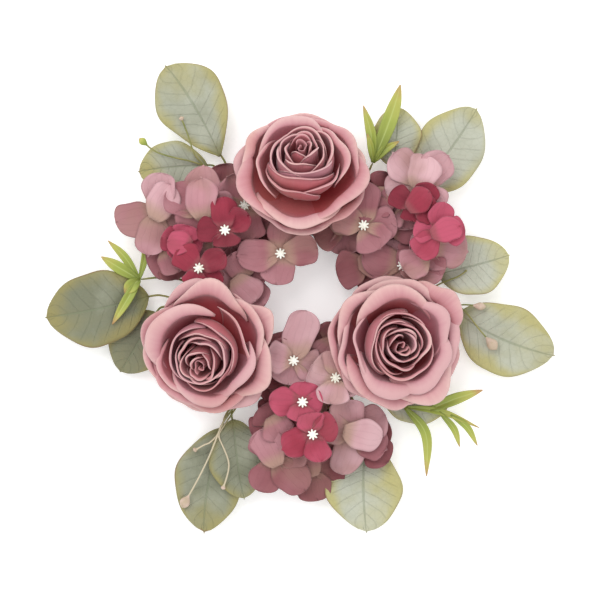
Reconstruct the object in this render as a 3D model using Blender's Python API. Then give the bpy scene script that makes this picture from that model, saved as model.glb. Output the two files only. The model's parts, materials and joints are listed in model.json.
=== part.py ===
"""Flower crown: a small floral ring of three roses, three hydrangea clusters and six leaf
sprays, all plugged into one moulded ring.

Metres, +Z up. The origin lies on the table, on the ring's axis; +Y is the back of the crown.
Everything that plugs into the ring is placed from its own socket: X outward, Y counter-clockwise
along the ring, Z up. Turns are in degrees, counter-clockwise from outward.
"""

import math

import bpy
from mathutils import Matrix, Vector

MM = 0.001

# Ring
RING_INNER = 40 * MM
RING_WIDTH = 13 * MM
RING_HEIGHT = 7 * MM
RING_EDGE = 1.5 * MM
RING_SIDES = 40

# Sockets and the stems that stand in them
CLEARANCE = 0.3 * MM
PLUG_RADIUS = 2.0 * MM
PLUG_SOCKET_DEPTH = 5 * MM
STEM_SIDES = 8
BORE_SIDES = 10
SPRAY_STEM_RADIUS = 1.0 * MM
SPRAY_INSERT = 2.3 * MM
SPRAY_SOCKET_PLAY = 1.2 * MM
SPRAY_STEM_LENGTH = 13 * MM
TWIG_RADIUS = 0.8 * MM
TENDRIL_RADIUS = 0.6 * MM

# Stamped fabric
SHEET = 0.8 * MM

# Rose: each ring of petals is a bowl of (radius, height) rows over the top of the hip
HIP_HEIGHT = 9 * MM
HIP_RADIUS = 6 * MM
HIP_DEPTH = 8 * MM
HIP_ROWS = ((0.45, -1), (1, -0.6), (1, -0.3), (0.9, -0.12))
HIP_SIDES = 10
SEPAL_RADIUS = 12 * MM
SEPAL_RISE = 2 * MM
PIN_RADIUS = 1.2 * MM
PIN_PLAY = 0.7 * MM
PIN_DEPTH = 4.0 * MM
STEM_STAND = 0.5 * PLUG_RADIUS
STEM_BEND = 5 * MM
STEM_ELBOW = (0.34, 0.78)
STEM_JOIN = 0.78
STEM_TAPER = 0.8
PETAL_RINGS = {
    "outer_petals": {
        "rows": ((0, 0.8), (8, 2.5), (21, 10.5), (34, 19.5), (39, 19)),
        "columns": 15,
        "scallop": 2.0,
    },
    "middle_petals": {
        "rows": ((0, 2.6), (7, 5.5), (18, 15), (27, 25), (31, 26)),
        "columns": 15,
        "scallop": 1.6,
    },
    "inner_petals": {
        "rows": ((0, 4.4), (6, 8), (13, 17), (20, 28.5), (23, 30.5)),
        "columns": 12,
        "scallop": 1.0,
    },
}
PETALS_PER_RING = 5
BUD_ROWS = ((2, 6.4), (6.5, 12), (10, 18), (12, 24), (12, 29), (9, 32.5), (5, 34), (2.5, 31.5))
BUD_SIDES = 10

# name: socket angle, hip's place from the socket, way it leans, lean of each ring and the bud
ROSES = {
    "back": (90, (25.0, -0.9), 0, (23, 29, 34, 37)),
    "left": (212, (14.0, -5.0), 18, (10, 14, 18, 22)),
    "right": (332, (14.0, 4.0), 16, (8, 10, 12, 14)),
}

# Hydrangea: a branched stem whose tips hold four-petalled florets
ROD_RADIUS = 0.9 * MM
ROD_SIDES = 5
ROD_HEIGHT = 6 * MM
ROD_START = 0.4 * MM
ROD_REACH = 0.4
ROD_ELBOW = (3.5 * MM, 0.3 * MM)
ROD_TOE = (0.7 * MM, 1.6 * MM)
HUB_ROWS = ((1, 0.4), (1.3, 0.8), (0.7, 1.3))
KNOB_RADIUS = 2.0 * MM
KNOB_HEIGHT = 1.6 * MM
KNOB_SHOULDER = 0.6
KNOB_TIP = 0.5
KNOB_STEP = 0.1 * MM
FLORET_HOLE = 1.6 * MM
FLORET_SHARES = (0, 0.5, 1)
PETAL_SPREAD = 28
PETAL_SHARE = 0.36
PETAL_SHOULDER = 0.93
FLORET_KINDS = {
    "dusty": {"half_width": 10.5, "notch": 6.5},
    "ruby": {"half_width": 7.8, "notch": 4.5},
}

# Each floret: kind, place from the socket, height over the ring's top, petals (turn, length)
CLUSTERS = {
    "left": (
        152,
        (
            ("dusty", (-23.1, -19.1), 16, ((-142, 22.6), (-72, 23.6), (33, 26), (113, 19))),
            ("dusty", (9.5, -34.4), 14, ((-122, 22), (-27, 20), (53, 18), (125, 21))),
            ("dusty", (53.6, -6.2), 13.8, ((-162, 24), (-67, 24), (46, 26), (108, 26))),
            ("dusty", (29.8, -18.9), 18, ((-140, 20), (-64, 28), (-4, 25), (83, 16))),
            ("dusty", (-9.8, 8.3), 10.5, ((-92, 18), (-2, 18), (113, 14), (173, 20))),
            ("ruby", (12.5, -15.8), 25, ((-115, 17), (-57, 20), (26, 17), (123, 10))),
            ("ruby", (15.6, 11.6), 24, ((-124, 18), (-14, 17), (98, 12), (163, 17))),
            ("ruby", (30.6, 2.6), 19.5, ((-167, 11), (-77, 11), (13, 14), (103, 11))),
        ),
    ),
    "right": (
        30,
        (
            ("dusty", (8.8, 19.7), 17, ((-85, 17), (-20, 20), (62, 27), (130, 19))),
            ("dusty", (50.5, 24.7), 17, ((-90, 20), (13, 24), (102, 24), (160, 21))),
            ("dusty", (17.1, -12.8), 12, ((-125, 14), (-33, 25), (55, 16), (138, 25))),
            ("dusty", (38.4, -12.0), 15, ((-130, 14), (-38, 21), (95, 12), (155, 14))),
            ("ruby", (40.8, 15.1), 24, ((-125, 10), (-50, 14), (15, 17), (120, 16))),
            ("ruby", (45.2, -6.2), 26, ((-165, 19), (-25, 16), (50, 18), (135, 15))),
        ),
    ),
    "front": (
        270,
        (
            ("dusty", (-10.2, -3.9), 16, ((-100, 16), (-10, 15), (70, 15), (168, 31))),
            ("dusty", (0.0, 21.3), 18.5, ((-120, 16), (-8, 16), (75, 16), (165, 16))),
            ("dusty", (33.0, 30.9), 13, ((-170, 20), (-100, 20), (-8, 26), (118, 23))),
            ("dusty", (48.6, -15.3), 12, ((-155, 19), (-22, 22), (40, 27), (110, 20))),
            ("ruby", (33.6, 7.5), 25, ((-170, 13), (-67, 20), (15, 17), (115, 16))),
            ("ruby", (14.4, 1.5), 23, ((-88, 20), (-8, 12), (80, 12), (175, 12))),
        ),
    ),
}

# Leaf sprays. A leaf: level, base, tip, width, rise of the tip. A tendril: points, bud radius.
# A sprig stands on the end of its twig and has narrow leaves: (width, points).
LEAF_ROWS = 8
LEAF_ARCH = 2.5 * MM
LEAF_FOLD = 0.1
LEAF_BIAS = 0.85
LEAF_FULLNESS = 0.72
LEAF_TIP = 0.04
LEVEL_GAP = 3.3 * MM
TWIG_START = 0.7
TWIG_STAGGER = 0.2
TWIG_BUD = ((-0.3, 0.8), (0.3, 1), (0.9, 0.4))
TWIG_NECK = 0.6
BLADE_THICKNESS = 1.2 * MM
BLADE_EDGE = 0.5 * MM
BLADE_SPAN = (0.12, 0.96)
SPRIG_HUB = ((0.9, -1.3), (1.3, 0), (0.9, 1.3))
SPRAYS = {
    "back_left": {
        "angle": 125,
        "leaves": (
            (1, (45.9, -11.0), (109.2, -13.6), 43, 3),
            (0, (46.3, -1.0), (66.6, 35.3), 32, 1),
        ),
        "tendrils": (
            (((30, -0.5, 1.8), (47, 1, 5), (60, 12, 8.5), (70, 20, 9), (80.8, 23.2, 8)), 1.9),
            (((44, 0.5, 4.2), (55, 2, 10), (66, -1.5, 13), (78.3, -4.4, 13)), 1.2),
        ),
    },
    "left": {
        "angle": 185,
        "leaves": (
            (1, (38.0, -10.1), (100.6, -2.9), 46, 3),
            (0, (34.6, -0.1), (59.8, 33.2), 36, 1),
        ),
        "twig": ((10, -9, 2.5), (14, -18, 5.6), (28, -21.5, 6.4), (42.5, -20.7, 6.2)),
        "sprig": (
            (7, ((42.5, -20.7, 8.6), (54, -29, 11), (64, -36.4, 13))),
            (5, ((42.5, -20.7, 8.6), (50, -35, 12), (58.9, -45.6, 15))),
            (6, ((42.5, -20.7, 8.6), (51, -9, 11.7), (61, 4.8, 12))),
            (4, ((42.5, -20.7, 8.6), (38, -34, 11), (37.8, -46.2, 13))),
            (8, ((42.5, -20.7, 8.6), (48, -17, 10.5), (52, -13.4, 11))),
        ),
    },
    "front_left": {
        "angle": 240,
        "leaves": (
            (0, (37.3, -2.2), (97.5, 20.7), 42, 1),
            (1, (30.2, 0.6), (67.3, 31.0), 34, 3),
        ),
        "tendrils": (
            (
                ((24, -2, 3), (34, -3.5, 7.9), (53.3, -0.5, 12.8), (72, 0.8, 11), (89.6, 0.9, 8)),
                1.9,
            ),
            (((38, -3.5, 8.4), (46, 3, 11.8), (54, 12.9, 13), (68.7, 16.6, 12)), 1.4),
            (((44, -2.5, 9.8), (51, -6, 9.7), (57.7, -9.9, 8.5)), 1.4),
        ),
    },
    "front": {
        "angle": 298,
        "leaves": (
            (0, (42.6, -3.6), (89.2, -31.1), 47, 2),
            (0, (20.8, 16.8), (46.6, 48.6), 30, 1),
        ),
        "twig": ((14, 6, 2.5), (20, 13, 5.2), (27, 19.5, 6.3), (33.7, 25.6, 6.4)),
        "sprig": (
            (4, ((33.7, 25.6, 8.8), (42, 38, 9.6), (50.9, 47.7, 9.6), (65.9, 59.4, 10))),
            (7, ((42, 38, 9.6), (43.5, 54, 10.5), (46.6, 71.7, 12))),
            (6, ((33.7, 25.6, 8.8), (54, 29, 9.5), (76.9, 17.5, 9))),
            (4, ((46, 42.5, 9.6), (59, 45.5, 10), (70.4, 43.5, 10.5))),
            (4, ((50.9, 47.7, 9.6), (62, 53, 9.5), (74.9, 53.3, 9))),
        ),
    },
    "right": {
        "angle": 355,
        "leaves": (
            (0, (29.1, 21.9), (70.4, 38.8), 37, 2),
            (0, (44.2, 1.0), (102.7, -20.4), 44, 2),
        ),
        "tendrils": (
            (((28, 3.5, 3), (38, 5, 6), (46, 3, 8), (56, -8, 9.4), (66.3, -17.6, 9.6)), 2.3),
            (((40, 5, 6.6), (49, 6, 8.2), (56.4, 5.7, 8.4)), 1.9),
            (((20, 9, 3), (30, 17, 6), (41.1, 22.4, 7), (46, 27, 7)), 0.9),
        ),
    },
    "back_right": {
        "angle": 60,
        "leaves": (
            (0, (38.9, -24.2), (100.4, -35.8), 42, 2),
            (1, (45.2, -8.8), (77.3, 7.7), 30, 1),
        ),
        "twig": ((20, 1, 1.2), (32, 2.6, 4), (41, 3.4, 5.8)),
        "sprig": (
            (9, ((41, 3.4, 8.2), (60, 6, 12), (76, 9, 15), (89.1, 12.4, 17))),
            (6, ((41, 3.4, 8.2), (55, 13, 13), (67.1, 25.4, 18))),
            (4, ((41, 3.4, 8.2), (48, 9, 12), (53.8, 14.9, 16))),
            (5, ((41, 3.4, 8.2), (51, 1, 10.5), (59.7, -3.9, 12))),
        ),
    },
}

RING_OUTER = RING_INNER + RING_WIDTH
RING_MIDDLE = RING_INNER + RING_WIDTH / 2
UP = Vector((0, 0, 1))


# Scene and objects


def clear_scene():
    for obj in list(bpy.data.objects):
        bpy.data.objects.remove(obj, do_unlink=True)


def plastic_or_fabric(name, colour, roughness):
    """A plain non-metal material."""
    material = bpy.data.materials.new(name)
    material.use_nodes = True
    shader = material.node_tree.nodes["Principled BSDF"]
    shader.inputs["Base Color"].default_value = (*colour, 1)
    shader.inputs["Roughness"].default_value = roughness
    shader.inputs["Metallic"].default_value = 0
    return material


def mesh_object(name, skin, material, parent=None, smooth=True):
    """An object with this skin: (points, faces)."""
    mesh = bpy.data.meshes.new(name)
    mesh.from_pydata([tuple(point) for point in skin[0]], [], skin[1])
    mesh.validate()
    mesh.materials.append(material)
    if smooth:
        mesh.shade_smooth()
        mesh.set_sharp_from_angle(angle=math.radians(40))
    obj = bpy.data.objects.new(name, mesh)
    bpy.context.scene.collection.objects.link(obj)
    obj.parent = parent
    return obj


def anchor(name, angle, radius, height):
    """An empty at a place of the ring, X outward and Y counter-clockwise."""
    empty = bpy.data.objects.new(name, None)
    bpy.context.scene.collection.objects.link(empty)
    turn = Matrix.Rotation(math.radians(angle), 4, "Z")
    empty.matrix_world = turn @ Matrix.Translation((radius, 0, height))
    return empty


def combine(obj, helpers, operation):
    """Joins the helpers to the object, or cuts them from it, and keeps them out of the model."""
    group = bpy.data.collections.new(f"{obj.name}_{operation.lower()}")
    bpy.context.scene.collection.children.link(group)
    for helper in helpers:
        helper.hide_render = True
        helper.display_type = "WIRE"
        bpy.context.scene.collection.objects.unlink(helper)
        group.objects.link(helper)
    group.hide_render = True
    modifier = obj.modifiers.new(operation.title(), "BOOLEAN")
    modifier.operation = operation
    modifier.solver = "EXACT"
    modifier.operand_type = "COLLECTION"
    modifier.collection = group


# Skins: (points, faces)


def loft(rings):
    """A closed skin over rings of equally many points, with a flat cap at each end."""
    count = len(rings[0])
    faces = [tuple(reversed(range(count)))]
    for start in range(0, (len(rings) - 1) * count, count):
        for j in range(count):
            k = (j + 1) % count
            faces.append((start + j, start + k, start + count + k, start + count + j))
    last = (len(rings) - 1) * count
    faces.append(tuple(range(last, last + count)))
    return [point for ring in rings for point in ring], faces


def circle(centre, axis, side, radius, sides):
    """Points round an axis, counter-clockwise, starting on the given side of it."""
    other = axis.cross(side)
    turns = [2 * math.pi * i / sides for i in range(sides)]
    return [centre + radius * (math.cos(a) * side + math.sin(a) * other) for a in turns]


def tube(stations, sides):
    """A round closed skin along stations (point, radius), turning no more than the path does."""
    points = [point for point, _ in stations]
    rings = []
    side = None
    for i, (point, radius) in enumerate(stations):
        axis = (points[min(i + 1, len(points) - 1)] - points[max(i - 1, 0)]).normalized()
        if side is None:
            side = axis.orthogonal()
        side = (side - axis * side.dot(axis)).normalized()
        rings.append(circle(point, axis, side, radius, sides))
    return loft(rings)


def turned(rows, sides, axis, origin=Vector()):
    """A closed skin of (radius, height) rows about an axis through the origin."""
    side = axis.orthogonal().normalized()
    return loft([circle(origin + axis * h, axis, side, r, sides) for r, h in rows])


def smooth_path(points, steps):
    """Points of a Catmull-Rom curve through these, with so many steps between neighbours."""
    ends = [points[0] * 2 - points[1], *points, points[-1] * 2 - points[-2]]
    path = []
    for i in range(1, len(ends) - 2):
        a, b, c, d = ends[i - 1 : i + 3]
        bend = 2 * a - 5 * b + 4 * c - d
        twist = 3 * b - a - 3 * c + d
        for step in range(steps):
            t = step / steps
            path.append((2 * b + (c - a) * t + bend * t**2 + twist * t**3) / 2)
    return [*path, points[-1]]


def sheet(name, rows, closed, material, parent):
    """A thin sheet through rows of points, thickened to both sides."""
    count = len(rows[0])
    steps = count if closed else count - 1
    faces = []
    for i in range(len(rows) - 1):
        for j in range(steps):
            k = (j + 1) % count
            faces.append((i * count + j, i * count + k, (i + 1) * count + k, (i + 1) * count + j))
    points = [point for row in rows for point in row]
    obj = mesh_object(name, (points, faces), material, parent)
    thicken = obj.modifiers.new("Thickness", "SOLIDIFY")
    thicken.thickness = SHEET
    thicken.offset = 0
    return obj


# The ring


def base_ring(material):
    """A flat-footed ring with chamfered edges and a blind socket for every stem."""
    profile = (
        (RING_INNER, 0),
        (RING_OUTER, 0),
        (RING_OUTER, RING_HEIGHT - RING_EDGE),
        (RING_OUTER - RING_EDGE, RING_HEIGHT),
        (RING_INNER + RING_EDGE, RING_HEIGHT),
        (RING_INNER, RING_HEIGHT - RING_EDGE),
    )
    points = []
    faces = []
    count = len(profile)
    for i in range(RING_SIDES):
        angle = 2 * math.pi * i / RING_SIDES
        nearby = (i + 1) % RING_SIDES
        points += [Vector((r * math.cos(angle), r * math.sin(angle), z)) for r, z in profile]
        for j in range(count):
            k = (j + 1) % count
            faces.append((i * count + j, nearby * count + j, nearby * count + k, i * count + k))
    ring = mesh_object("base_ring", (points, faces), material)
    cutters = []
    bore = PLUG_RADIUS + CLEARANCE
    angles = [rose[0] for rose in ROSES.values()] + [cluster[0] for cluster in CLUSTERS.values()]
    for angle in angles:
        at = anchor(f"plug_socket_{angle}", angle, RING_MIDDLE, RING_HEIGHT)
        rows = ((bore, -PLUG_SOCKET_DEPTH), (bore, RING_EDGE))
        cutters.append(mesh_object(f"plug_bore_{angle}", turned(rows, BORE_SIDES, UP), material, at))
    bore = SPRAY_STEM_RADIUS + SPRAY_SOCKET_PLAY
    depth = SPRAY_INSERT + SPRAY_SOCKET_PLAY
    for spray in SPRAYS.values():
        angle = spray["angle"]
        at = anchor(f"spray_socket_{angle}", angle, RING_OUTER, RING_HEIGHT / 2)
        rows = ((bore, -depth), (bore, RING_EDGE))
        skin = turned(rows, BORE_SIDES, Vector((1, 0, 0)))
        cutters.append(mesh_object(f"spray_bore_{angle}", skin, material, at))
    combine(ring, cutters, "DIFFERENCE")


# Roses


def leaning(turn, lean):
    """The way a rose's axis points at this lean towards this turn."""
    turn, lean = math.radians(turn), math.radians(lean)
    level = Vector((math.cos(turn), math.sin(turn), 0))
    return level * math.sin(lean) + UP * math.cos(lean)


def calyx(name, at, top, axis, material):
    """The green hip with its sepals and pin hole, on the bent stem that plugs into the ring."""
    hole = PIN_RADIUS + PIN_PLAY
    rows = [(HIP_RADIUS * radius, HIP_DEPTH * height) for radius, height in HIP_ROWS]
    rows += [
        (SEPAL_RADIUS, SEPAL_RISE - SHEET / 2),
        (SEPAL_RADIUS, SEPAL_RISE + SHEET / 2),
        (HIP_RADIUS, 0),
        (hole, 0),
        (hole, -PIN_DEPTH - CLEARANCE),
    ]
    hip = mesh_object(name, turned(rows, HIP_SIDES, axis, top), material, at)
    end = top - axis * HIP_DEPTH * STEM_JOIN
    away = Vector((end.x, end.y, 0)).normalized()
    out, up = STEM_ELBOW
    route = [
        UP * (CLEARANCE - PLUG_SOCKET_DEPTH),
        UP * STEM_STAND,
        away * STEM_BEND * out + UP * end.z * up,
        away * STEM_BEND + UP * end.z,
        end - away * STEM_BEND,
        end,
    ]
    radii = [PLUG_RADIUS] * (len(route) - 1) + [PLUG_RADIUS * STEM_TAPER]
    stem = mesh_object(f"{name}_stem", tube(list(zip(route, radii)), STEM_SIDES), material, at)
    combine(hip, [stem], "UNION")


def petal_ring(name, at, top, axis, layout, material):
    """One stamped ring of petals: a bowl with a scalloped rim, threaded on the bud's pin."""
    side = axis.orthogonal().normalized()
    other = axis.cross(side)
    hole = PIN_RADIUS + PIN_PLAY
    rim = len(layout["rows"]) - 1
    rows = []
    for i, (radius, height) in enumerate(layout["rows"]):
        row = []
        for j in range(layout["columns"]):
            turn = 2 * math.pi * j / layout["columns"]
            wave = layout["scallop"] * math.cos(PETALS_PER_RING * turn) * (i / rim) ** 2
            out = max(hole, (radius + wave) * MM)
            up = (height + wave * 0.5) * MM
            row.append(top + out * (side * math.cos(turn) + other * math.sin(turn)) + axis * up)
        rows.append(row)
    sheet(name, rows, True, material, at)


def bud(name, at, top, axes, material):
    """The closed bud and its pin, which follows the bend of the rose down into the hip."""
    heights = [layout["rows"][0][1] * MM for layout in PETAL_RINGS.values()]
    stations = [(top - axes[0] * PIN_DEPTH, PIN_RADIUS), (top, PIN_RADIUS)]
    stations += [(top + axis * h, PIN_RADIUS) for axis, h in zip(axes, heights)]
    stations += [(top + axes[-1] * h * MM, r * MM) for r, h in BUD_ROWS]
    points = [point for point, _ in stations]
    side = axes[0].orthogonal().normalized()
    rings = []
    for i, (point, radius) in enumerate(stations):
        if i >= len(stations) - len(BUD_ROWS):
            axis = axes[-1]
        else:
            axis = (points[i + 1] - points[max(i - 1, 0)]).normalized()
        side = (side - axis * side.dot(axis)).normalized()
        rings.append(circle(point, axis, side, radius, BUD_SIDES))
    mesh_object(name, loft(rings), material, at)


def rose(name, angle, place, turn, leans, green, pink):
    at = anchor(f"{name}_socket", angle, RING_MIDDLE, RING_HEIGHT)
    top = Vector((place[0] * MM, place[1] * MM, HIP_HEIGHT))
    axes = [leaning(turn, lean) for lean in leans]
    calyx(f"{name}_calyx", at, top, axes[0], green)
    for (layer, layout), axis in zip(PETAL_RINGS.items(), axes):
        petal_ring(f"{name}_{layer}", at, top, axis, layout, pink)
    bud(f"{name}_bud", at, top, axes, pink)


# Hydrangea


def floret_rows(kind, petals):
    """Rows of a four-petalled floret, from its hole to its edge, as (turn, radius) columns."""
    size = FLORET_KINDS[kind]
    columns = []
    for i, (turn, length) in enumerate(petals):
        before = (turn - petals[i - 1][0]) % 360
        after = (petals[(i + 1) % len(petals)][0] - turn) % 360
        for way, gap in ((-1, before), (0, 0), (1, after)):
            spread = min(PETAL_SPREAD, PETAL_SHARE * gap)
            reach = length
            if way:
                side = size["half_width"] / math.sin(math.radians(spread))
                reach = min(length * PETAL_SHOULDER, side)
            columns.append((turn + spread * way, reach * MM))
        columns.append((turn + after / 2, size["notch"] * MM))
    rows = []
    for share in FLORET_SHARES:
        row = []
        for turn, reach in columns:
            radius = FLORET_HOLE + (reach - FLORET_HOLE) * share
            angle = math.radians(turn)
            row.append(Vector((radius * math.cos(angle), radius * math.sin(angle), 0)))
        rows.append(row)
    return rows


def floret_rod(name, at, centre, material):
    """A rod from the branch's hub to a floret, with a collar below it and a knob above it."""
    level = Vector((centre.x, centre.y, 0))
    away = level.normalized()
    route = (
        away * ROD_START + UP * ROD_HEIGHT * HUB_ROWS[1][1],
        level * ROD_REACH + UP * ROD_HEIGHT,
        level - away * ROD_ELBOW[0] + UP * (ROD_HEIGHT + ROD_ELBOW[1]),
        level - away * ROD_TOE[0] + UP * (ROD_HEIGHT + ROD_TOE[1]),
    )
    stations = [(point, ROD_RADIUS) for point in route]
    grip = SHEET / 2 + CLEARANCE
    neck = grip - KNOB_STEP
    for height, radius in (
        (-grip - KNOB_HEIGHT, ROD_RADIUS),
        (-grip - KNOB_HEIGHT * KNOB_SHOULDER, KNOB_RADIUS),
        (-grip, KNOB_RADIUS),
        (-neck, ROD_RADIUS),
        (neck, ROD_RADIUS),
        (grip, KNOB_RADIUS),
        (grip + KNOB_HEIGHT * KNOB_SHOULDER, KNOB_RADIUS),
        (grip + KNOB_HEIGHT, KNOB_RADIUS * KNOB_TIP),
    ):
        stations.append((centre + UP * height, radius))
    return mesh_object(name, tube(stations, ROD_SIDES), material, at)


def cluster(name, angle, florets, materials):
    at = anchor(f"{name}_socket", angle, RING_MIDDLE, RING_HEIGHT)
    rows = [(PLUG_RADIUS, CLEARANCE - PLUG_SOCKET_DEPTH)]
    rows += [(PLUG_RADIUS * radius, ROD_HEIGHT * height) for radius, height in HUB_ROWS]
    hub = mesh_object(f"{name}_branch", turned(rows, STEM_SIDES, UP), materials["stem"], at)
    rods = []
    for number, (kind, place, height, petals) in enumerate(florets, 1):
        centre = Vector((*place, height)) * MM
        rods.append(floret_rod(f"{name}_rod_{number}", at, centre, materials["stem"]))
        rows = [[centre + point for point in row] for row in floret_rows(kind, petals)]
        sheet(f"{name}_floret_{number}", rows, True, materials[kind], at)
    combine(hub, rods, "UNION")


# Leaf sprays


def millimetres(points):
    return [Vector(point) * MM for point in points]


def leaf_outline(t):
    """Half the leaf's width at a share of its length, as a share of its greatest half width."""
    return max(LEAF_TIP, math.sin(math.pi * t**LEAF_BIAS) ** LEAF_FULLNESS)


def leaf_rows(level, base, tip, width, rise):
    """Rows of left edge, midrib and right edge, from the base to the tip."""
    height = SPRAY_STEM_RADIUS + CLEARANCE + SHEET / 2 + level * LEVEL_GAP
    start = Vector((base[0] * MM, base[1] * MM, height))
    end = Vector((tip[0] * MM, tip[1] * MM, height + rise * MM))
    along = Vector((end.x - start.x, end.y - start.y, 0)).normalized()
    across = UP.cross(along)
    rows = []
    for i in range(LEAF_ROWS + 1):
        t = i / LEAF_ROWS
        middle = start.lerp(end, t) + UP * LEAF_ARCH * math.sin(math.pi * t)
        half = width * MM / 2 * leaf_outline(t)
        lift = UP * half * LEAF_FOLD
        rows.append([middle - across * half + lift, middle, middle + across * half + lift])
    return rows


def twig(name, at, points, radius, bud_radius, material):
    """A thin stalk that starts inside the spray's stem, with a bud at its end if it has one."""
    aside = points[-1].y / points[-1].x
    start = Vector((SPRAY_STEM_LENGTH * (TWIG_START + TWIG_STAGGER * aside), 0, 0))
    path = smooth_path([start, *points], 2) if bud_radius else [start, *points]
    stations = [(point, radius) for point in path]
    if bud_radius:
        way = (path[-1] - path[-2]).normalized()
        end = path[-1] - way * bud_radius
        stations[-1] = (end - way * bud_radius * TWIG_NECK, radius)
        for share, size in TWIG_BUD:
            stations.append((end + way * bud_radius * share, bud_radius * size))
    return mesh_object(name, tube(stations, ROD_SIDES), material, at)


def narrow_leaf(name, at, width, points, material):
    """A narrow leaf of diamond section along a smooth path."""
    path = smooth_path(millimetres(points), 2)
    first, last = BLADE_SPAN
    rings = []
    for i, point in enumerate(path):
        t = i / (len(path) - 1)
        way = (path[min(i + 1, len(path) - 1)] - path[max(i - 1, 0)]).normalized()
        across = UP.cross(way).normalized()
        above = way.cross(across)
        bulge = math.sin(math.pi * (first + (last - first) * t))
        wide = across * max(BLADE_EDGE, width * MM / 2 * bulge)
        thick = above * BLADE_THICKNESS / 2 * (1 - t / 2)
        rings.append([point + wide, point + thick, point - wide, point - thick])
    return mesh_object(name, loft(rings), material, at, smooth=False)


def spray(name, layout, materials):
    """One wired spray: stem, leaves, and its tendrils or its sprig of narrow leaves."""
    at = anchor(f"{name}_hinge", layout["angle"], RING_OUTER, RING_HEIGHT / 2)
    green = materials["stem"]
    rows = ((SPRAY_STEM_RADIUS, -SPRAY_INSERT), (SPRAY_STEM_RADIUS, SPRAY_STEM_LENGTH))
    skin = turned(rows, STEM_SIDES, Vector((1, 0, 0)))
    stem = mesh_object(f"{name}_stem", skin, green, at)
    twigs = []
    drop = UP * (SHEET / 2 + CLEARANCE + TWIG_RADIUS)
    for number, leaf in enumerate(layout["leaves"], 1):
        rows = leaf_rows(*leaf)
        sheet(f"{name}_leaf_{number}", rows, False, materials["leaf"], at)
        below = [row[1] - drop for row in rows[:3]]
        before = below[0] * 2 - below[1]
        twigs.append(
            twig(f"{name}_stalk_{number}", at, [before, *below], TWIG_RADIUS, 0, green)
        )
    for number, (points, bud_radius) in enumerate(layout.get("tendrils", ()), 1):
        label = f"{name}_tendril_{number}"
        points = millimetres(points)
        twigs.append(twig(label, at, points, TENDRIL_RADIUS, bud_radius * MM, green))
    if "sprig" in layout:
        points = millimetres(layout["twig"])
        twigs.append(twig(f"{name}_sprig_stalk", at, points, TWIG_RADIUS, 0, green))
        foot = Vector(layout["sprig"][0][1][0]) * MM
        rows = [(radius * MM, height * MM) for radius, height in SPRIG_HUB]
        skin = turned(rows, STEM_SIDES, UP, foot)
        hub = mesh_object(f"{name}_sprig", skin, materials["lime"], at)
        blades = [
            narrow_leaf(f"{name}_blade_{number}", at, width, points, materials["lime"])
            for number, (width, points) in enumerate(layout["sprig"], 1)
        ]
        combine(hub, blades, "UNION")
    combine(stem, twigs, "UNION")


def build():
    clear_scene()
    materials = {
        "ring": plastic_or_fabric("ring", (0.05, 0.065, 0.04), 0.5),
        "stem": plastic_or_fabric("stem", (0.3, 0.36, 0.14), 0.55),
        "pink": plastic_or_fabric("pink", (0.62, 0.3, 0.34), 0.8),
        "dusty": plastic_or_fabric("dusty", (0.6, 0.36, 0.4), 0.85),
        "ruby": plastic_or_fabric("ruby", (0.45, 0.07, 0.13), 0.85),
        "leaf": plastic_or_fabric("leaf", (0.42, 0.48, 0.36), 0.8),
        "lime": plastic_or_fabric("lime", (0.42, 0.55, 0.16), 0.6),
    }
    base_ring(materials["ring"])
    for name, (angle, place, turn, leans) in ROSES.items():
        rose(f"rose_{name}", angle, place, turn, leans, materials["stem"], materials["pink"])
    for name, (angle, florets) in CLUSTERS.items():
        cluster(f"hydrangea_{name}", angle, florets, materials)
    for name, layout in SPRAYS.items():
        spray(f"spray_{name}", layout, materials)


build()
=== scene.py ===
"""Looks of the flower crown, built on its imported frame.

Metres, +Z up, +Y to the back of the crown. Sizes in the tables are in millimetres and turns in
degrees, counter-clockwise from +X seen from above, unless a table says otherwise.
"""

import json
import math

import bpy
import numpy as np
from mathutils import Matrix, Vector


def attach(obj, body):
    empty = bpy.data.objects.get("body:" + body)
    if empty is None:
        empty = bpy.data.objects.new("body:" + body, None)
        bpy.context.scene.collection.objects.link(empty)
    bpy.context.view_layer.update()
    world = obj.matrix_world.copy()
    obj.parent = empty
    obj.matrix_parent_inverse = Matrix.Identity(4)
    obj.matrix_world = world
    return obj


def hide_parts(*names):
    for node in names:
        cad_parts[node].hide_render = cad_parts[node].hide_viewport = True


MM = 0.001
UP = np.array((0.0, 0.0, 1.0))

# Camera: straight above, the whole crown and a margin in view
CAMERA_HEIGHT = 1.5
VIEW_WIDTH = 0.36
FLOWER_LEVEL = 22 * MM
SENSOR = 36

# Thicknesses
ROSE_FABRIC = 0.4 * MM
FLORET_FABRIC = 0.3 * MM
LEAF_FABRIC = 0.4 * MM
BLADE_PLASTIC = 0.5 * MM

# Of the CAD solids: height of the outer petals' foot over the hip, radius of a floret's hole
CAD_OUTER_FOOT = 0.8 * MM
CAD_FLORET_HOLE = 1.6 * MM

# Rose petals: a wall that rises from the hip as a quarter ellipse, and a rim that rolls outward
PETAL_COLUMNS = 27
WALL_ROWS = 13
ROLL_ROWS = 9
ROLL_TURN = 155
WALL_SHARE = 0.7
# How far one side edge of a petal is tucked under its neighbour
TUCKS = {"outer": 1.4, "middle": 1.4, "inner": 0.9, "bud": 0.9}

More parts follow.
